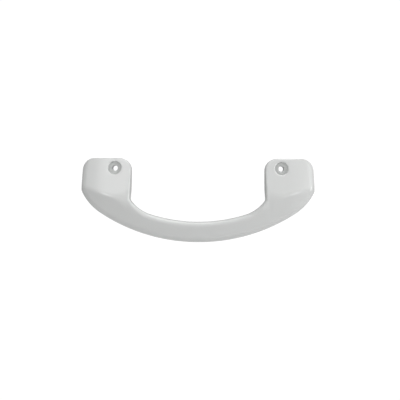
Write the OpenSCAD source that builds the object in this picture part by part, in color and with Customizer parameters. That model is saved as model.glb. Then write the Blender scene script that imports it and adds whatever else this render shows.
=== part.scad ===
// Bow pull handle for a window or door sash: two broad feet, each with one screw well,
// joined by a shallow smile-shaped bow that stands clear of the sash.
// Frame: millimetres, +X right, +Z up, the front faces -Y. The mounting plane is y = 0 and the
// origin lies on it midway between the two screw axes. "Depth" is distance in front of that plane.

/* [Mounting] */
// Distance between the two fixing screws
hole_spacing = 128; // [124:1:132]
// Diameter of the clearance hole for each fixing screw
screw_hole_d = 4.2; // [4:0.1:4.8]
// Diameter of the well that takes the screw head
well_d = 10; // [9:0.5:10.5]
// Depth from the mounting plane to the floor of the well
well_floor_depth = 9.5; // [8.5:0.1:9.8]

/* [Feet] */
// Width of each foot
foot_w = 37.5; // [37:0.25:38.5]
// Screw axis to the inner side of the foot
hole_to_inner = 12.5; // [12:0.1:13]
// Screw axis to the top edge of the foot
hole_to_top = 7.7; // [7.6:0.1:8.4]
// Depth of the front face at the screw axis
foot_depth = 14.1; // [13.8:0.1:14.4]
// Gain in depth for each millimetre down the front face
foot_slope = 0.6; // [0.57:0.01:0.63]
// Radius of the two top corners
top_corner_r = 9; // [7:0.5:9.5]
// Rounding between the front face and the outer side
side_round = 4; // [3:0.25:4.5]
// How far the front face falls away towards the outer side
side_fall = 2.5; // [1.5:0.25:3]

/* [Bow] */
// Depth of the front face of the bow at its middle, inner edge
bow_depth = 32; // [31:0.5:33]
// Height of the bow section at its middle
bow_height = 15.2; // [14.8:0.2:16]
// Thickness of the bow at its middle, outer edge
bow_thick = 11.5; // [11:0.25:12.5]
// Lean of the plane the bow lies in
bow_lean = 15; // [14:0.5:16]
// Radius of the outer edge of the bow in that plane
bow_r = 134; // [133:0.5:135]
// Rounding of the outer edges of the bow
bow_round = 4; // [3:0.25:4.5]

/* [Mouldings] */
// Wall of both mouldings
wall = 2.4; // [2:0.1:2.6]
// Thickness of the rubber pad under each foot
pad_t = 1.5; // [1:0.1:2]

/* [Hidden] */
$fn = 64;

// Reaches past the whole handle: across, and in front of it
far = 90;
front_end = 42;
hole_x = hole_spacing / 2;
in_x = hole_x - hole_to_inner;
out_x = in_x + foot_w;
top_z = hole_to_top;

// Middle section of the bow, as [z, depth] pairs
rim_z = -56;
front_lean = 0.038;
rear_lean = -0.22;
rim_depth = bow_depth - front_lean * bow_height;
rear_depth = rim_depth - bow_thick;
inner_z = rim_z + bow_height;

// Axis the bow is turned about, and how far round it the bow is swept each way
bow_sweep = 56;
axis_back = bow_r * sin(bow_lean) - rim_depth;
axis_z = rim_z + bow_r * cos(bow_lean);

// Inner edge of the bow: one middle arc, two side arcs, straight sides of the feet
mid_r = 121;
side_r = 30;
side_from = 36;
mid_cz = inner_z + mid_r;
mid_a = asin(side_from / mid_r);
side_cx = side_from - side_r * sin(mid_a);
side_cz = mid_cz - (mid_r - side_r) * cos(mid_a);

// Lower outer corner of each foot: a wide arc off the bow's circle, then a tight one
sweep_a = 34.5;
tight_r = 7;
wide_end = 29;
wide_start = atan2(cos(sweep_a), cos(bow_lean) * sin(sweep_a));
corner_run = out_x - bow_r * sin(sweep_a) - tight_r * (1 - cos(wide_end));
wide_r = corner_run / (cos(wide_end) - cos(wide_start));
wide_c = [
    bow_r * sin(sweep_a) - wide_r * cos(wide_start),
    axis_z - bow_r * cos(bow_lean) * cos(sweep_a) + wide_r * sin(wide_start)];
tight_c = [out_x - tight_r, wide_c[1] - (wide_r - tight_r) * sin(wide_end)];

// Where the front face of a foot starts to fall away, and where it meets the side rounding
fall_w = 20;
fall_x = out_x - fall_w;
fall_a = 11;
round_x = out_x - side_round * (1 - sin(fall_a));

// Underside of each foot, where it lifts off the sash
heel_z = -15;
heel_run = 0.8;

// Fit between the two mouldings
part_line = 5;
fit = 0.3;
plate_t = 3;
plate_back = pad_t;
plate_front = pad_t + plate_t;

// Screw sleeves and their bosses
floor_t = 2;
sleeve_r = 3.75;
sleeve_l = well_floor_depth - floor_t;
boss_r = 5.6;
well_wall_r = well_d / 2 + 2;

// Self-tapping screws that join the mouldings, as distance outward of the screw axis and height
post_r = 3.2;
upper_post = [16.5, 1];
lower_post = [9.5, -9.6];
head_r = 2.6;
head_h = 1.5;
seat_depth = plate_back + 1.7;
shank_r = 1.4;
shank_l = 7;

// Snap pegs inside the bow, by angle round the bow axis
peg_angles = [-18, 0, 18];
peg_r = 1.7;
socket_r = 3.4;
peg_mid_r = bow_r - 8;
peg_end = -6;
socket_back = -9.5;
socket_front = -4;
socket_floor = -7;

white = [0.93, 0.94, 0.93];
inner_white = [0.86, 0.87, 0.86];
steel = [0.72, 0.73, 0.75];
rubber = [0.2, 0.2, 0.21];

function arc(c, r, a0, a1, n) = [
    for (i = [0:n])
        let (a = a0 + (a1 - a0) * i / n)
            c + r * [cos(a), sin(a)]];
function mirrored(pts) = [for (i = [len(pts) - 1:-1:0]) [-pts[i][0], pts[i][1]]];
function front_at(z) = bow_depth + front_lean * (z - inner_z);
function rear_at(z) = rear_depth + rear_lean * (z - rim_z);

// A [z, depth] point of the middle section, as radius and height along the bow axis
function turned(p) = [
    (axis_z - p[0]) * cos(bow_lean) + (p[1] + axis_back) * sin(bow_lean),
    (p[1] + axis_back) * cos(bow_lean) - (axis_z - p[0]) * sin(bow_lean)];

// Half of the outline seen from the front, right side, from the middle of the bow outward
function inner_edge(t) = concat(
    arc([0, mid_cz], mid_r + t, -90, -90 + mid_a, 6),
    arc([side_cx, side_cz], side_r + t, -90 + mid_a + 4, -acos((in_x - side_cx) / side_r), 8));
function top_edge(t) = concat(
    arc([in_x + top_corner_r, top_z - top_corner_r], top_corner_r - t, 180, 90, 8),
    arc([out_x - top_corner_r, top_z - top_corner_r], top_corner_r - t, 90, 0, 8));
function low_corner(t) = concat(
    arc(tight_c, tight_r - t, 0, -wide_end + 1, 5),
    arc(wide_c, wide_r - t, -wide_end, -wide_start, 8),
    [[out_x + 6, tight_c[1] - 27], [out_x + 6, -80]]);

module outline(t) {
    right = concat(inner_edge(t), top_edge(t), low_corner(t));
    polygon(concat(mirrored(right), right));
}

// Everything inside the outline, between two depths
module prism(t, d0, d1) {
    translate([0, -d0, 0])
        rotate([90, 0, 0])
            linear_extrude(height = d1 - d0)
                outline(t);
}

// A [z, depth] polygon drawn out across the whole width
module side_prism(pts) {
    rotate([90, 0, -90])
        translate([0, 0, -far - 10])
            linear_extrude(height = 2 * far + 20)
                polygon([for (p = pts) [p[1], p[0]]]);
}

// A [z, depth] polygon of the middle section, turned about the bow axis
module bow_turn(pts, half_angle) {
    translate([0, axis_back, axis_z])
        rotate([90 - bow_lean, 0, 0])
            rotate([0, 0, -90 - half_angle])
                rotate_extrude(angle = 2 * half_angle, $fn = 180)
                    polygon([for (p = pts) turned(p)]);
}

// Section of the foot faces across the slope, as [x, distance in from the plane at the screws]
function fall(x) = side_fall * pow((x - fall_x) / fall_w, 2);
function foot_section(t) = concat(
    [for (i = [0:5]) let (x = fall_x + (round_x - fall_x) * i / 5) [x, fall(x) + t]],
    arc([out_x - side_round, fall(round_x) + side_round * cos(fall_a)],
        side_round - t, fall_a - 84, -6, 7),
    [[out_x + 6, fall(round_x) + side_round], [out_x + 6, far]]);

// Behind the front faces of the feet
module under_foot_face(t) {
    translate([0, -foot_depth, 0])
        rotate([-atan(foot_slope), 0, 0])
            translate([0, 0, -far])
                linear_extrude(height = far + 30)
                    polygon(concat(mirrored(foot_section(t)), foot_section(t)));
}

// Behind the face of the bow and inside its outer edge
module under_bow_face(t) {
    lean = sqrt(1 + front_lean * front_lean);
    cz = rim_z + bow_round;
    cd = front_at(cz) - bow_round * lean;
    bow_turn(concat(
        [[rim_z + t, -40]],
        arc([cz, cd], bow_round - t, 180, 90 + atan(front_lean), 6),
        [[20, front_at(20) - t * lean], [20, -40]]), bow_sweep);
}

// The space behind the bow and under the feet, grown by t
module behind(t) {
    lean = sqrt(1 + rear_lean * rear_lean);
    r = max(bow_round - t, 0);
    cz = rim_z + max(bow_round, t);
    cd = rear_at(cz) + max(bow_round, t) * lean;
    rise = t * sqrt(1 + heel_run * heel_run);
    round_end = (r > 0)
        ? arc([cz, cd], r, 270 + atan(rear_lean), 180, 6)
        : [[rim_z, rear_at(rim_z) + t * lean]];
    intersection() {
        bow_turn(concat(
            [[20, -40], [20, rear_at(20) + t * lean]],
            round_end,
            [[rim_z - 12, round_end[len(round_end) - 1][1]], [rim_z - 12, -40]]), bow_sweep);
        side_prism([
            [heel_z + rise, -12],
            [heel_z + rise, 0],
            [heel_z - heel_run * 40 + rise, 40],
            [-90, 40],
            [-90, -12]]);
    }
}

// Solid form of the handle, shrunk by t, open at the back of the feet from the given depth
module form(t, back) {
    difference() {
        intersection() {
            prism(t, back, front_end);
            under_foot_face(t);
            under_bow_face(t);
        }
        behind(t);
    }
}

// A cylinder square to the mounting plane, between two depths
module pin(x, z, r, d0, d1) {
    translate([x, -d0, z])
        rotate([90, 0, 0])
            cylinder(r = r, h = d1 - d0);
}

// A cylinder parallel to the bow axis, at an angle round it, between two heights along it
module bow_pin(a, r, h0, h1) {
    translate([0, axis_back, axis_z])
        rotate([90 - bow_lean, 0, 0])
            rotate([0, 0, a])
                translate([0, -peg_mid_r, h0])
                    cylinder(r = r, h = h1 - h0);
}

module bosses() {
    intersection() {
        union() {
            for (s = [-1, 1]) {
                pin(s * hole_x, 0, well_wall_r, sleeve_l, front_end);
                pin(s * hole_x, 0, boss_r, plate_front, sleeve_l + 1);
                for (p = [upper_post, lower_post])
                    pin(s * (hole_x + p[0]), p[1], post_r, plate_front, front_end);
            }
            for (a = peg_angles)
                bow_pin(a, peg_r, peg_end, -2 * peg_end);
        }
        form(wall / 2, plate_front);
    }
}

module front_shell() {
    color(white)
        difference() {
            union() {
                difference() {
                    form(0, pad_t);
                    form(wall, -1);
                    behind(part_line + fit / 2);
                }
                bosses();
            }
            for (s = [-1, 1]) {
                pin(s * hole_x, 0, well_d / 2, well_floor_depth, front_end);
                pin(s * hole_x, 0, screw_hole_d / 2, 0, front_end);
                pin(s * hole_x, 0, sleeve_r + fit, 0, sleeve_l);
                for (p = [upper_post, lower_post])
                    pin(s * (hole_x + p[0]), p[1], shank_r + fit, 0, seat_depth + shank_l + 0.5);
            }
        }
}

// Foot plates of the back moulding, sitting inside the skirt of the front one
module foot_plates() {
    intersection() {
        prism(wall + fit, plate_back, plate_front);
        union() {
            for (s = [-1, 1])
                translate([s * (in_x + foot_w / 2) - foot_w / 2, -10, heel_z])
                    cube([foot_w, 20, top_z - heel_z]);
        }
    }
}

module back_shell() {
    color(inner_white)
        difference() {
            union() {
                difference() {
                    intersection() {
                        form(0, pad_t);
                        behind(part_line - fit / 2);
                    }
                    form(wall, -1);
                }
                foot_plates();
                for (a = peg_angles)
                    bow_pin(a, socket_r, socket_back, socket_front);
            }
            for (a = peg_angles)
                bow_pin(a, peg_r + fit, socket_floor, 0);
            for (s = [-1, 1]) {
                pin(s * hole_x, 0, sleeve_r + fit, 0, 10);
                for (p = [upper_post, lower_post]) {
                    pin(s * (hole_x + p[0]), p[1], shank_r + fit, 0, 10);
                    pin(s * (hole_x + p[0]), p[1], head_r + fit, 0, seat_depth);
                }
            }
        }
}

module screw_sleeve(s) {
    color(steel)
        difference() {
            pin(s * hole_x, 0, sleeve_r, 0, sleeve_l);
            pin(s * hole_x, 0, screw_hole_d / 2, -1, sleeve_l + 1);
        }
}

module foot_pad(s) {
    color(rubber)
        difference() {
            intersection() {
                prism(1.2, 0, pad_t);
                translate([s * (in_x + foot_w / 2) - foot_w / 2, -10, heel_z + 1])
                    cube([foot_w, 20, top_z - heel_z]);
            }
            pin(s * hole_x, 0, sleeve_r + fit, -1, pad_t + 1);
            for (p = [upper_post, lower_post])
                pin(s * (hole_x + p[0]), p[1], head_r + fit, -1, pad_t + 1);
        }
}

module shell_screw(s, p) {
    x = s * (hole_x + p[0]);
    slot = [3.2, 1.2, 0.7];
    color(steel)
        difference() {
            union() {
                pin(x, p[1], head_r, seat_depth - head_h, seat_depth);
                pin(x, p[1], shank_r, seat_depth, seat_depth + shank_l);
            }
            for (a = [0, 90])
                translate([x, head_h - seat_depth, p[1]])
                    rotate([0, a, 0])
                        cube([slot[0], slot[1], slot[2]], center = true);
        }
}

module left_screw_sleeve() {
    screw_sleeve(-1);
}

module right_screw_sleeve() {
    screw_sleeve(1);
}

module left_foot_pad() {
    foot_pad(-1);
}

module right_foot_pad() {
    foot_pad(1);
}

module left_upper_shell_screw() {
    shell_screw(-1, upper_post);
}

module left_lower_shell_screw() {
    shell_screw(-1, lower_post);
}

module right_upper_shell_screw() {
    shell_screw(1, upper_post);
}

module right_lower_shell_screw() {
    shell_screw(1, lower_post);
}

front_shell();
back_shell();
left_screw_sleeve();
right_screw_sleeve();
left_foot_pad();
right_foot_pad();
left_upper_shell_screw();
left_lower_shell_screw();
right_upper_shell_screw();
right_lower_shell_screw();
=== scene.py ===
"""White bow pull handle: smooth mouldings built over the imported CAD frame, lit as in a plain studio."""
import math

import bmesh
import bpy
import numpy as np
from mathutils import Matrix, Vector
from mathutils.geometry import delaunay_2d_cdt


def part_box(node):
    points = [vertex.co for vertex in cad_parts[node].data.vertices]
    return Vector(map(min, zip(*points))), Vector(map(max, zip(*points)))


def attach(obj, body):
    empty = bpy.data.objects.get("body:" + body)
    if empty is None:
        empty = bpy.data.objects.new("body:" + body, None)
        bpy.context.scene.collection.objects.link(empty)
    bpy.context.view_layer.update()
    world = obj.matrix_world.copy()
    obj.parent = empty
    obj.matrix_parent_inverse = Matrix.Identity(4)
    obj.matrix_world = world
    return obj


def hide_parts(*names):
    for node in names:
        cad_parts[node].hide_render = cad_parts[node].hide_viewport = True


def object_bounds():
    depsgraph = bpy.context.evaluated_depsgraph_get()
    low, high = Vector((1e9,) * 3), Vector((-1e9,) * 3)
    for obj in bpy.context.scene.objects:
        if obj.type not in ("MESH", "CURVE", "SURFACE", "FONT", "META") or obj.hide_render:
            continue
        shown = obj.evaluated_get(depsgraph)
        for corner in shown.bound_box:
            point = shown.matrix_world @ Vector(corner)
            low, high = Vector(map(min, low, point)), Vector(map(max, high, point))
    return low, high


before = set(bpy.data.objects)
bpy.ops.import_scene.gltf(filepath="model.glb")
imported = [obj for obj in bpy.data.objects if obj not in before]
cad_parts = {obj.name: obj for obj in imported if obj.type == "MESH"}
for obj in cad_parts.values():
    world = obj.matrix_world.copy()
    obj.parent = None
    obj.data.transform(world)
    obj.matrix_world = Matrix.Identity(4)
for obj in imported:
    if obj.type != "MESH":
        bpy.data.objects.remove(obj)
cad_lo, cad_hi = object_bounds()

# ---------------------------------------------------------------- sizes, in millimetres
# x is across, z is up, depth is distance in front of the mounting plane.
MM = 0.001
front_lo, front_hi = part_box("front_shell")
sleeve_lo, sleeve_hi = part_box("right_screw_sleeve")
pad_lo, pad_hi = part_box("right_foot_pad")
HOLE_X = (sleeve_lo.x + sleeve_hi.x) / 2 / MM
TOP_Z = front_hi.z / MM
OUT_X = front_hi.x / MM
RIM_Z = front_lo.z / MM
BOW_DEPTH = -front_lo.y / MM + 0.02
PAD_T = -pad_lo.y / MM
SLEEVE_L = -sleeve_lo.y / MM
FOOT_W = 37.5
IN_X = OUT_X - FOOT_W
FOOT_DEPTH = 14.1
FOOT_SLOPE = 0.6
FALL_W, FALL = 20.0, 2.9
RIDGE_IN, RIDGE_FADE, RIDGE_SOFT, RIDGE_MORE = 66.0, 12.0, 1.2, 4.5
LEAN = math.radians(15)
SL, CL = math.sin(LEAN), math.cos(LEAN)
BOW_R = 134.0
BOW_H = 15.2
BOW_THICK = 11.5
FACE_LEAN = 0.038
REAR_LEAN = -0.22
INNER_Z = RIM_Z + BOW_H
RIM_DEPTH = BOW_DEPTH - FACE_LEAN * BOW_H
REAR_DEPTH = RIM_DEPTH - BOW_THICK
AXIS_BACK = BOW_R * SL - RIM_DEPTH
AXIS_Z = RIM_Z + BOW_R * CL
WELL_R = 5.0
LIP_R, FILLET_R = 1.0, 0.35
WELL_FLOOR = SLEEVE_L + 2.0
HOLE_R = 2.1
SLEEVE_HOLE_R = 4.05
WALL = 2.4
PLATE_TOP = PAD_T + 3.0
ROOF = PLATE_TOP + 0.15
PART_LINE = 5.0
SHELL_SCREWS = ((16.5, 1.0), (9.5, -9.6))
SEAT_DEPTH, HEAD_HOLE_R, SHANK_HOLE_R = PAD_T + 1.7, 2.9, 1.7
HEEL_Z = -15.0
HEEL_RUN = 0.8
HEEL_SOFT = 2.0
GAP = 0.3
CONE_STEPS = 8
OUTLINE_STEP = 0.8


# ---------------------------------------------------------------- surfaces as depth over (x, z)
def turned(z, d):
    """A point of the middle section, as radius and height along the bow's axis."""
    return ((AXIS_Z - z) * CL + (d + AXIS_BACK) * SL, (d + AXIS_BACK) * CL - (AXIS_Z - z) * SL)


def cone(x, z, p0, p1):
    """Depth of the surface that the line p0-p1 of the middle section sweeps round the bow's axis."""
    (r0, w0), (r1, w1) = turned(*p0), turned(*p1)
    k = (w1 - w0) / (r1 - r0)
    w = np.full(np.shape(x), (w0 + w1) / 2)
    for _ in range(CONE_STEPS):
        v = (AXIS_Z - z + w * SL) / CL
        r = np.hypot(x, v)
        w = w0 + k * (r - r0)
    return -AXIS_BACK + v * SL + w * CL


def soft_min(a, b, k):
    h = np.clip(0.5 + 0.5 * (b - a) / k, 0, 1)
    return b * (1 - h) + a * h - k * h * (1 - h)


def soft_max(a, b, k):
    return -soft_min(-a, -b, k)


def face(x, z):
    """Front of the handle: the sloping foot face, running into the face of the bow at a soft ridge."""
    foot = FOOT_DEPTH - FOOT_SLOPE * z
    bow = cone(x, z, (RIM_Z, RIM_DEPTH), (INNER_Z, BOW_DEPTH))
    fall = np.clip((np.abs(x) - (OUT_X - FALL_W)) / FALL_W, 0, 1) ** 2 * FALL
    fade = np.clip((RIDGE_IN - np.abs(x)) / RIDGE_FADE, 0, 1)
    return soft_min(foot, bow, RIDGE_SOFT + RIDGE_MORE * fade * fade) - fall


def bow_back(x, z):
    return cone(x, z, (RIM_Z, REAR_DEPTH), (INNER_Z, REAR_DEPTH + REAR_LEAN * BOW_H))


def rear(x, z):
    """Back of the bow and undersides of the feet."""
    back = bow_back(x, z)
    under = (HEEL_Z - z) / HEEL_RUN
    return soft_max(soft_min(back, under, HEEL_SOFT), PAD_T + 0.1 + 0 * x, 0.6)


def parting(x, z):
    """Depth of the line where the two mouldings meet."""
    back = bow_back(x, z) + PART_LINE
    under = (HEEL_Z + PART_LINE * math.hypot(1, HEEL_RUN) - z) / HEEL_RUN
    return soft_max(soft_min(back, under, HEEL_SOFT), PAD_T + 0 * x, 0.3)


# ---------------------------------------------------------------- outline seen from the front
MID_R, SIDE_R, SIDE_FROM = 121.0, 30.0, 36.0
MID_CZ = INNER_Z + MID_R
MID_A = math.asin(SIDE_FROM / MID_R)
SIDE_CX = SIDE_FROM - SIDE_R * math.sin(MID_A)
SIDE_CZ = MID_CZ - (MID_R - SIDE_R) * math.cos(MID_A)
SWEEP = math.radians(34.5)
TIGHT_R = 7.0
WIDE_END = math.radians(29)
TOP_R = 9.0
KINK_R = 2.0
WIDE_START = math.atan2(math.cos(SWEEP), CL * math.sin(SWEEP))
WIDE_R = ((OUT_X - BOW_R * math.sin(SWEEP) - TIGHT_R * (1 - math.cos(WIDE_END)))
          / (math.cos(WIDE_END) - math.cos(WIDE_START)))
WIDE_CX = BOW_R * math.sin(SWEEP) - WIDE_R * math.cos(WIDE_START)
WIDE_CZ = AXIS_Z - BOW_R * CL * math.cos(SWEEP) + WIDE_R * math.sin(WIDE_START)
TIGHT_CX = OUT_X - TIGHT_R
TIGHT_CZ = WIDE_CZ - (WIDE_R - TIGHT_R) * math.sin(WIDE_END)


def spaced(a, b, n):
    return [a + (b - a) * i / n for i in range(n)]


def arc_pts(cx, cz, r, a0, a1, step, inward=1):
    n = max(3, int(abs(a1 - a0) * r / step))
    return [(cx + r * math.cos(a), cz + r * math.sin(a), inward * math.cos(a), inward * math.sin(a))
            for a in spaced(a0, a1, n)]


def line_pts(p, q, n_dir, step):
    n = max(2, int(math.dist(p, q) / step))
    return [(p[0] + (q[0] - p[0]) * t, p[1] + (q[1] - p[1]) * t, *n_dir) for t in spaced(0.0, 1.0, n)]


def right_half(step):
    """Right half of the outline from the foot of the bow round to its inner edge: rows of x, z,
    outward normal, front rounding, rear rounding, angle round the bow's axis and share of the drift."""
    rows = []

    def add(points, front, back, turn=(0.0, 0.0), share=(0.0, 0.0)):
        for i, p in enumerate(points):
            t = i / len(points)
            ease = t * t * (3 - 2 * t)
            f, b, w = (v[0] + (v[1] - v[0]) * ease for v in (front, back, share))
            rows.append((*p, f, b, turn[0] + (turn[1] - turn[0]) * t, w))

    sweep = []
    for a in spaced(0.0, SWEEP, int(SWEEP * BOW_R / step)):
        tx, tz = CL * math.sin(a), math.cos(a)
        norm = math.hypot(tx, tz)
        sweep.append((BOW_R * math.sin(a), AXIS_Z - BOW_R * CL * math.cos(a), tx / norm, -tz / norm))
    add(sweep, (4.0, 4.2), (4.0, 4.0), (0.0, SWEEP), (1.0, 1.0))
    add(arc_pts(WIDE_CX, WIDE_CZ, WIDE_R, -WIDE_START, -WIDE_END, step), (4.2, 4.4), (4.0, 3.0),
        (SWEEP, SWEEP), (1.0, 0.4))
    add(arc_pts(TIGHT_CX, TIGHT_CZ, TIGHT_R, -WIDE_END, 0, step), (4.4, 4.6), (3.0, 1.5),
        (SWEEP, SWEEP), (0.4, 0.0))
    add(line_pts((OUT_X, TIGHT_CZ), (OUT_X, TOP_Z - TOP_R), (1, 0), step), (4.6, 4.6), (1.5, 0.5))
    add(arc_pts(OUT_X - TOP_R, TOP_Z - TOP_R, TOP_R, 0, math.pi / 2, step), (4.6, 1.0), (0.5, 0.5))
    add(line_pts((OUT_X - TOP_R, TOP_Z), (IN_X + TOP_R, TOP_Z), (0, 1), step), (1.0, 1.0), (0.5, 0.5))
    add(arc_pts(IN_X + TOP_R, TOP_Z - TOP_R, TOP_R, math.pi / 2, math.pi, step), (1.0, 1.3), (0.5, 0.5))
    low = -math.acos((IN_X - SIDE_CX) / SIDE_R)
    kink_z = SIDE_CZ + SIDE_R * math.sin(low)
    kx, kz = IN_X - KINK_R, kink_z + KINK_R * 0.45
    add(line_pts((IN_X, TOP_Z - TOP_R), (IN_X, kz), (-1, 0), step), (1.3, 1.8), (0.5, 2.0))
    add(arc_pts(kx, kz, KINK_R, 0, low, step * 0.6, -1), (1.8, 2.2), (2.0, 2.4))
    add(arc_pts(SIDE_CX, SIDE_CZ, SIDE_R, low - 0.03, -math.pi / 2 + MID_A, step, -1),
        (2.2, 4.4), (2.4, 4.0))
    add(arc_pts(0, MID_CZ, MID_R, -math.pi / 2 + MID_A, -math.pi / 2, step, -1), (4.4, 4.4), (4.0, 4.0))
    rows.append((0.0, INNER_Z, 0.0, 1.0, 4.4, 4.0, 0.0, 0.0))
    return np.array(rows)


def whole_outline(step):
    right = right_half(step)
    left = right[1:-1][::-1].copy()
    left[:, [0, 2, 6]] *= -1
    return np.vstack([right, left])


def drifted(loop, depth):
    """The outline at a depth: the outer edge of the bow leans with the axis it is turned about."""
    a, share = loop[:, 6], loop[:, 7]
    level = -AXIS_BACK + BOW_R * SL * np.cos(a)
    down = share * (level - depth) / (SL * SL * np.cos(a) + CL * CL)
    x = loop[:, 0] - down * SL * np.sin(a)
    z = loop[:, 1] - down * SL * CL * (1 - np.cos(a))
    return x, z


# ---------------------------------------------------------------- mesh building
class Maker:
    def __init__(self):
        self.verts = []
        self.faces = []

    def ring(self, x, z, d):
        x, z, d = np.broadcast_arrays(x, z, d)
        start = len(self.verts)
        self.verts += [(float(a) * MM, -float(c) * MM, float(b) * MM) for a, b, c in zip(x, z, d)]
        return list(range(start, len(self.verts)))

    def bridge(self, a, b):
        n = len(a)
        self.faces += [(a[i], a[(i + 1) % n], b[(i + 1) % n], b[i]) for i in range(n)]

    def fill(self, outer, holes, surface, spacing):
        """Covers the space between closed loops with triangles that lie on a surface."""
        loops = [outer, *holes]
        flat = [np.array([(self.verts[i][0] / MM, self.verts[i][2] / MM) for i in lp]) for lp in loops]
        lo, hi = flat[0].min(0), flat[0].max(0)
        gx, gz = np.meshgrid(np.arange(lo[0], hi[0], spacing), np.arange(lo[1], hi[1], spacing * 0.866))
        gx = gx + (np.arange(gx.shape[0]) % 2)[:, None] * spacing / 2
        pts = np.column_stack([gx.ravel(), gz.ravel()])
        pts = pts[inside(pts, flat[0])]
        for hole in flat[1:]:
            pts = pts[~inside(pts, hole)]
        edge = np.vstack(flat)
        keep = np.array([np.min(np.hypot(*(edge - p).T)) > spacing * 0.62 for p in pts]) if len(pts) else []
        pts = pts[keep] if len(pts) else pts
        grid = self.ring(pts[:, 0], pts[:, 1], surface(pts[:, 0], pts[:, 1])) if len(pts) else []
        ids = [i for lp in loops for i in lp] + grid
        where = [Vector(p) for p in np.vstack([edge, pts])] if len(pts) else [Vector(p) for p in edge]
        seams, base = [], 0
        for lp in loops:
            seams += [(base + i, base + (i + 1) % len(lp)) for i in range(len(lp))]
            base += len(lp)
        out = delaunay_2d_cdt(where, seams, [], 0, 1e-6)
        tri = np.array([f for f in out[2] if len(f) == 3])
        at = np.array([tuple(v) for v in out[0]])
        mid = at[tri].mean(1)
        ok = inside(mid, flat[0])
        for hole in flat[1:]:
            ok &= ~inside(mid, hole)
        source = [ids[o[0]] for o in out[3]]
        self.faces += [tuple(source[i] for i in t) for t in tri[ok]]

    def piece(self, name, material, sharp=38):
        mesh = bpy.data.meshes.new(name)
        mesh.from_pydata(self.verts, [], self.faces)
        bm = bmesh.new()
        bm.from_mesh(mesh)
        bmesh.ops.remove_doubles(bm, verts=bm.verts, dist=1e-7)
        bmesh.ops.recalc_face_normals(bm, faces=bm.faces)
        bm.to_mesh(mesh)
        bm.free()
        mesh.shade_smooth()
        mesh.set_sharp_from_angle(angle=math.radians(sharp))
        mesh.materials.append(material)
        obj = bpy.data.objects.new(name, mesh)
        bpy.context.scene.collection.objects.link(obj)
        return obj


def inside(pts, loop):
    """Even-odd test of points against one closed loop."""
    x, z = pts[:, 0][:, None], pts[:, 1][:, None]
    x0, z0 = loop[:, 0][None], loop[:, 1][None]
    x1, z1 = np.roll(loop[:, 0], -1)[None], np.roll(loop[:, 1], -1)[None]
    with np.errstate(divide="ignore", invalid="ignore"):
        cut = ((z0 > z) != (z1 > z)) & (x < (x1 - x0) * (z - z0) / (z1 - z0) + x0)
    return cut.sum(1) % 2 == 1


def circle(cx, cz, r, n=72):
    a = np.arange(n) * 2 * math.pi / n
    return cx + r * np.cos(a), cz + r * np.sin(a)


ROUND_STEPS = 9


def rounded_edge(m, loop, radius, surface, side):
    """Rings of a rounded edge, from the wall (first) to the surface (last).
    side is 1 in front and -1 behind."""
    rings = []
    level = surface(loop[:, 0], loop[:, 1])
    for k in range(ROUND_STEPS + 1):
        a = math.pi / 2 * k / ROUND_STEPS
        inset, drop = radius * (1 - math.cos(a)), radius * (1 - math.sin(a))
        x, z = drifted(loop, level - side * drop)
        x, z = x - loop[:, 2] * inset, z - loop[:, 3] * inset
        rings.append(m.ring(x, z, surface(x, z) - side * drop))
    for a, b in zip(rings, rings[1:]):
        m.bridge(a, b)
    return rings


def front_moulding(material):
    m = Maker()
    loop = whole_outline(OUTLINE_STEP)
    rings = rounded_edge(m, loop, loop[:, 4], face, 1)
    wells = []
    for s in (-1, 1):
        cx = s * HOLE_X
        lip = []
        for k in range(6):
            a = math.pi / 2 * k / 5
            x, z = circle(cx, 0, WELL_R + LIP_R * (1 - math.sin(a)))
            lip.append(m.ring(x, z, face(x, z) - LIP_R * (1 - math.cos(a))))
        x, z = circle(cx, 0, WELL_R)
        top = face(x, z) - LIP_R
        for k in range(1, 4):
            lip.append(m.ring(x, z, top + (WELL_FLOOR + FILLET_R - top) * k / 3))
        for k in range(1, 5):
            a = math.pi / 2 * k / 4
            fx, fz = circle(cx, 0, WELL_R - FILLET_R * (1 - math.cos(a)))
            lip.append(m.ring(fx, fz, WELL_FLOOR + FILLET_R * (1 - math.sin(a))))
        for r, d in (
                (HOLE_R + 1.2, WELL_FLOOR), (HOLE_R + 0.3, WELL_FLOOR), (HOLE_R + 0.08, WELL_FLOOR - 0.08),
                (HOLE_R, WELL_FLOOR - 0.3), (HOLE_R, SLEEVE_L + 0.02), (SLEEVE_HOLE_R, SLEEVE_L + 0.02),
                (SLEEVE_HOLE_R, ROOF)):
            fx, fz = circle(cx, 0, r)
            lip.append(m.ring(fx, fz, d))
        for a, b in zip(lip, lip[1:]):
            m.bridge(a, b)
        wells.append((lip[0], lip[-1]))
    m.fill(rings[-1], [w[0] for w in wells], face, 1.3)

    def edge_at(inset, lift, reach=0.0):
        guess = parting(loop[:, 0], loop[:, 1])
        x, z = drifted(loop, guess)
        x, z = x - loop[:, 2] * inset, z - loop[:, 3] * inset
        d = parting(x, z) + GAP / 2 + lift
        return m.ring(x, z, np.maximum(d, reach))

    low = edge_at(0, 0.25)
    start = np.array([m.verts[i] for i in rings[0]]) / MM
    stop = np.array([m.verts[i] for i in low]) / MM
    prev = rings[0]
    for k in range(1, 5):
        p = start + (stop - start) * k / 4
        nxt = low if k == 4 else m.ring(p[:, 0], p[:, 2], -p[:, 1])
        m.bridge(prev, nxt)
        prev = nxt
    rim = edge_at(0.25, 0)
    inner = edge_at(WALL, 0)
    roof = edge_at(WALL, 0, ROOF)
    for a, b in zip((low, rim, inner), (rim, inner, roof)):
        m.bridge(a, b)
    m.fill(roof, [w[1] for w in wells],
           lambda x, z: np.maximum(parting(x, z) + GAP / 2, ROOF), 2.5)
    return m.piece("front_moulding", material)


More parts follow.
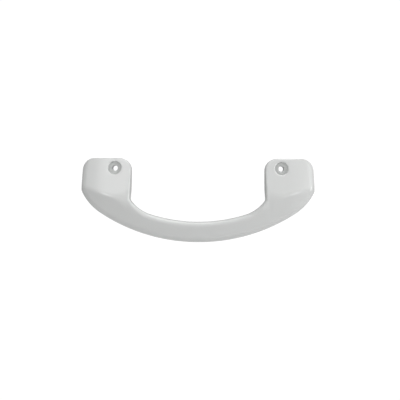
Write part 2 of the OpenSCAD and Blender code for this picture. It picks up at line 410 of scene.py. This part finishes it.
def back_moulding(material):
    m = Maker()
    loop = whole_outline(OUTLINE_STEP)
    stop_z = HEEL_Z + 4.6
    keep = loop[:, 1] < stop_z
    # the loop runs from the bottom of the bow: cut it off across each foot, above the heel,
    # and lower between the sides, where the foot plate takes over
    out = []
    n = len(loop)
    for i in range(n):
        j = (i + 1) % n
        if keep[i]:
            out.append(loop[i])
        if keep[i] != keep[j]:
            t = (stop_z - loop[i, 1]) / (loop[j, 1] - loop[i, 1])
            cut = loop[i] + (loop[j] - loop[i]) * t
            if keep[i]:
                s = 1 if cut[0] > 0 else -1
                other = s * (IN_X if abs(cut[0]) > OUT_X - 1 else OUT_X)
                out.append(cut)
                steps = 46
                for q in range(1, steps):
                    row = cut.copy()
                    row[0] = cut[0] + (other - cut[0]) * q / steps
                    if IN_X + 3 < abs(row[0]) < OUT_X - 3:
                        row[1] = HEEL_Z + 2.0
                    row[2], row[3] = 0.0, 1.0
                    row[4:] = 0.3, 0.3, 0.0, 0.0
                    out.append(row)
            else:
                out.append(cut)
    loop = np.array(out)
    rings = rounded_edge(m, loop, np.minimum(loop[:, 5], 0.3 + 0.5 * (stop_z - loop[:, 1])), rear, -1)
    guess = parting(loop[:, 0], loop[:, 1])

    def edge_at(inset, lift):
        x, z = drifted(loop, guess)
        x, z = x - loop[:, 2] * inset, z - loop[:, 3] * inset
        return m.ring(x, z, parting(x, z) - GAP / 2 - lift)

    low, rim = edge_at(0, 0.25), edge_at(0.25, 0)
    start = np.array([m.verts[i] for i in rings[0]]) / MM
    stop = np.array([m.verts[i] for i in low]) / MM
    prev = rings[0]
    for k in range(1, 4):
        p = start + (stop - start) * k / 3
        nxt = low if k == 3 else m.ring(p[:, 0], p[:, 2], -p[:, 1])
        m.bridge(prev, nxt)
        prev = nxt
    m.bridge(low, rim)
    m.fill(rings[-1], [], rear, 1.4)
    m.fill(rim, [], lambda x, z: parting(x, z) - GAP / 2, 2.5)
    for s in (-1, 1):
        foot_plate(m, s)
    return m.piece("back_moulding", material)


def foot_plate(m, s):
    """Plate of the back moulding inside one foot, with the sleeve hole and two recessed screw holes."""
    x0, x1, z0, z1 = IN_X + WALL + GAP, OUT_X - WALL - GAP, HEEL_Z + 1.0, TOP_Z - WALL - GAP
    r = TOP_R - WALL - GAP
    loop = np.array(
        line_pts((x0, z0), (x1, z0), (0, -1), 1.2)
        + line_pts((x1, z0), (x1, z1 - r), (1, 0), 1.2)
        + arc_pts(x1 - r, z1 - r, r, 0, math.pi / 2, 0.8)
        + line_pts((x1 - r, z1), (x0 + r, z1), (0, 1), 1.2)
        + arc_pts(x0 + r, z1 - r, r, math.pi / 2, math.pi, 0.8)
        + line_pts((x0, z1 - r), (x0, z0), (-1, 0), 1.2))
    low, top = PAD_T + 0.05, PLATE_TOP - 0.05
    sides = [m.ring(s * (loop[:, 0] - inset * loop[:, 2]), loop[:, 1] - inset * loop[:, 3], d)
             for inset, d in ((0.2, low), (0, low + 0.2), (0, top - 0.2), (0.2, top))]
    holes = [(HOLE_X, 0.0, ((SLEEVE_HOLE_R, low), (SLEEVE_HOLE_R, top)))]
    for out, up in SHELL_SCREWS:
        recess = ((HEAD_HOLE_R, low), (HEAD_HOLE_R, SEAT_DEPTH))
        holes.append((HOLE_X + out, up, (*recess, (SHANK_HOLE_R, SEAT_DEPTH), (SHANK_HOLE_R, top))))
    bores = []
    for cx, cz, steps in holes:
        rings = [m.ring(*circle(s * cx, cz, radius, 40), d) for radius, d in steps]
        for a, b in zip(rings, rings[1:]):
            m.bridge(a, b)
        bores.append(rings)
    for a, b in zip(sides, sides[1:]):
        m.bridge(a, b)
    m.fill(sides[0], [b[0] for b in bores], lambda x, z: low + 0 * x, 2.0)
    m.fill(sides[-1], [b[-1] for b in bores], lambda x, z: top + 0 * x, 2.0)


# ---------------------------------------------------------------- materials
def shader(name, colour, rough, **sockets):
    mat = bpy.data.materials.new(name)
    mat.use_nodes = True
    bsdf = mat.node_tree.nodes["Principled BSDF"]
    bsdf.inputs["Base Color"].default_value = (*colour, 1)
    bsdf.inputs["Roughness"].default_value = rough
    for key, value in sockets.items():
        bsdf.inputs[key.replace("_", " ")].default_value = value
    return mat, mat.node_tree, bsdf


def noise(tree, scale, detail):
    coord = tree.nodes.new("ShaderNodeTexCoord")
    tex = tree.nodes.new("ShaderNodeTexNoise")
    tex.inputs["Scale"].default_value = scale
    tex.inputs["Detail"].default_value = detail
    tree.links.new(coord.outputs["Object"], tex.inputs["Vector"])
    return tex.outputs["Fac"]


def ramp(tree, source, low, high):
    node = tree.nodes.new("ShaderNodeValToRGB")
    node.color_ramp.elements[0].color = (*low, 1)
    node.color_ramp.elements[1].color = (*high, 1)
    tree.links.new(source, node.inputs["Fac"])
    return node.outputs["Color"]


def spread(tree, source, low, high):
    node = tree.nodes.new("ShaderNodeMapRange")
    node.inputs["To Min"].default_value = low
    node.inputs["To Max"].default_value = high
    tree.links.new(source, node.inputs["Value"])
    return node.outputs["Result"]


def bump(tree, bsdf, source, strength, distance):
    node = tree.nodes.new("ShaderNodeBump")
    node.inputs["Strength"].default_value = strength
    node.inputs["Distance"].default_value = distance
    tree.links.new(source, node.inputs["Height"])
    tree.links.new(node.outputs["Normal"], bsdf.inputs["Normal"])


def gloss_white(name, light, dark, rough_lo, rough_hi):
    mat, tree, bsdf = shader(name, light, rough_lo)
    tree.links.new(ramp(tree, noise(tree, 30, 2), dark, light), bsdf.inputs["Base Color"])
    tree.links.new(spread(tree, noise(tree, 160, 2), rough_lo, rough_hi), bsdf.inputs["Roughness"])
    bump(tree, bsdf, noise(tree, 260, 2), 0.02, 0.0002)
    return mat


front_white = gloss_white("front_white", (0.80, 0.812, 0.804), (0.788, 0.798, 0.788), 0.17, 0.21)
back_white = gloss_white("back_white", (0.79, 0.80, 0.79), (0.775, 0.785, 0.772), 0.26, 0.32)


def zinc(name):
    mat, tree, bsdf = shader(name, (0.6, 0.61, 0.63), 0.32, Metallic=1.0)
    colour = ramp(tree, noise(tree, 900, 4), (0.5, 0.51, 0.54), (0.66, 0.67, 0.68))
    tree.links.new(colour, bsdf.inputs["Base Color"])
    tree.links.new(spread(tree, noise(tree, 2500, 3), 0.24, 0.42), bsdf.inputs["Roughness"])
    bump(tree, bsdf, noise(tree, 3000, 2), 0.1, 0.0001)
    return mat


def rubber(name):
    mat, tree, bsdf = shader(name, (0.05, 0.05, 0.055), 0.8)
    colour = ramp(tree, noise(tree, 500, 4), (0.035, 0.035, 0.04), (0.065, 0.065, 0.07))
    tree.links.new(colour, bsdf.inputs["Base Color"])
    tree.links.new(spread(tree, noise(tree, 900, 3), 0.65, 0.85), bsdf.inputs["Roughness"])
    bump(tree, bsdf, noise(tree, 2200, 3), 0.25, 0.0001)
    return mat


cad_materials = {
    "sleeve": zinc("sleeve_zinc"),
    "shell_screw": zinc("screw_zinc"),
    "pad": rubber("pad_rubber")}
for node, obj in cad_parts.items():
    for word, material in cad_materials.items():
        if word in node:
            obj.data.materials.clear()
            obj.data.materials.append(material)

# ---------------------------------------------------------------- pieces
front = front_moulding(front_white)
back = back_moulding(back_white)
for piece, node, slot in ((front, "front_shell", "front_moulding"), (back, "back_shell", "back_moulding")):
    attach(piece, "root")
    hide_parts(node)

# ---------------------------------------------------------------- studio
scene = bpy.context.scene
world = bpy.data.worlds.new("studio")
scene.world = world
world.use_nodes = True
scene.view_settings.view_transform = "Standard"
FILL = 0.29


def white_to_camera(tree, lit, out):
    """Pure white where the camera looks straight at it, and ordinary light for the object."""
    path = tree.nodes.new("ShaderNodeLightPath")
    white = tree.nodes.new("ShaderNodeEmission")
    mix = tree.nodes.new("ShaderNodeMixShader")
    white.inputs["Strength"].default_value = 1.05
    tree.links.new(path.outputs["Is Camera Ray"], mix.inputs["Fac"])
    tree.links.new(lit, mix.inputs[1])
    tree.links.new(white.outputs["Emission"], mix.inputs[2])
    tree.links.new(mix.outputs["Shader"], out)


sky = world.node_tree.nodes["Background"]
sky.inputs["Color"].default_value = (1, 1, 1, 1)
sky.inputs["Strength"].default_value = FILL
world_out = world.node_tree.nodes["World Output"]
white_to_camera(world.node_tree, sky.outputs["Background"], world_out.inputs["Surface"])

floor_mesh = bpy.data.meshes.new("floor")
half = 6.0
corners = [(-half, -half, 0), (half, -half, 0), (half, half, 0), (-half, half, 0)]
floor_mesh.from_pydata(corners, [], [(0, 1, 2, 3)])
floor = bpy.data.objects.new("floor", floor_mesh)
scene.collection.objects.link(floor)
floor.location.z = cad_lo.z - 0.30
floor_mat, floor_tree, floor_bsdf = shader("floor_white", (0.9, 0.9, 0.9), 0.9)
floor_tree.links.new(ramp(floor_tree, noise(floor_tree, 3, 2), (0.88, 0.88, 0.88), (0.92, 0.92, 0.92)),
                     floor_bsdf.inputs["Base Color"])
white_to_camera(floor_tree, floor_bsdf.outputs["BSDF"], floor_tree.nodes["Material Output"].inputs["Surface"])
floor_mesh.materials.append(floor_mat)


def softbox(name, place, target, size, power):
    light = bpy.data.lights.new(name, "AREA")
    light.shape = "RECTANGLE"
    light.size, light.size_y = size
    light.energy = power
    obj = bpy.data.objects.new(name, light)
    scene.collection.objects.link(obj)
    obj.location = place
    obj.rotation_mode = "QUATERNION"
    obj.rotation_quaternion = (Vector(target) - Vector(place)).to_track_quat("-Z", "Y")
    return obj


middle = (cad_lo + cad_hi) / 2
softbox("front_right", (0.42, -0.76, 0.50), middle, (0.14, 0.14), 0.7)
softbox("front_left", (-0.35, -0.80, 0.50), middle, (0.14, 0.14), 1.1)
softbox("sky_left", (-0.20, -0.50, 0.81), middle, (0.28, 0.5), 0.77)
softbox("top_right", (1.40, -0.63, 1.28), middle, (1.2, 1.2), 5.0)
softbox("side", (1.86, -0.42, 0.58), middle, (0.7, 0.7), 9.9)
softbox("top", (0.15, 0.10, 1.60), middle, (1.0, 0.8), 6.6)

camera_data = bpy.data.cameras.new("camera")
camera = bpy.data.objects.new("camera", camera_data)
scene.collection.objects.link(camera)
# the picture is VIEW_W wide at VIEW_DEPTH in front of the mounting plane, in millimetres
CAM_D = 0.76
VIEW_W, VIEW_DEPTH = 306.9603, 12
SENSOR_W = 36
camera_data.sensor_width = SENSOR_W
camera_data.lens = SENSOR_W * (CAM_D / MM - VIEW_DEPTH) / VIEW_W
camera_data.clip_start = 0.01
camera.location = (0.00157, -CAM_D, -0.0243)
camera.rotation_euler = (math.pi / 2, math.radians(-0.3), 0)
scene.camera = camera
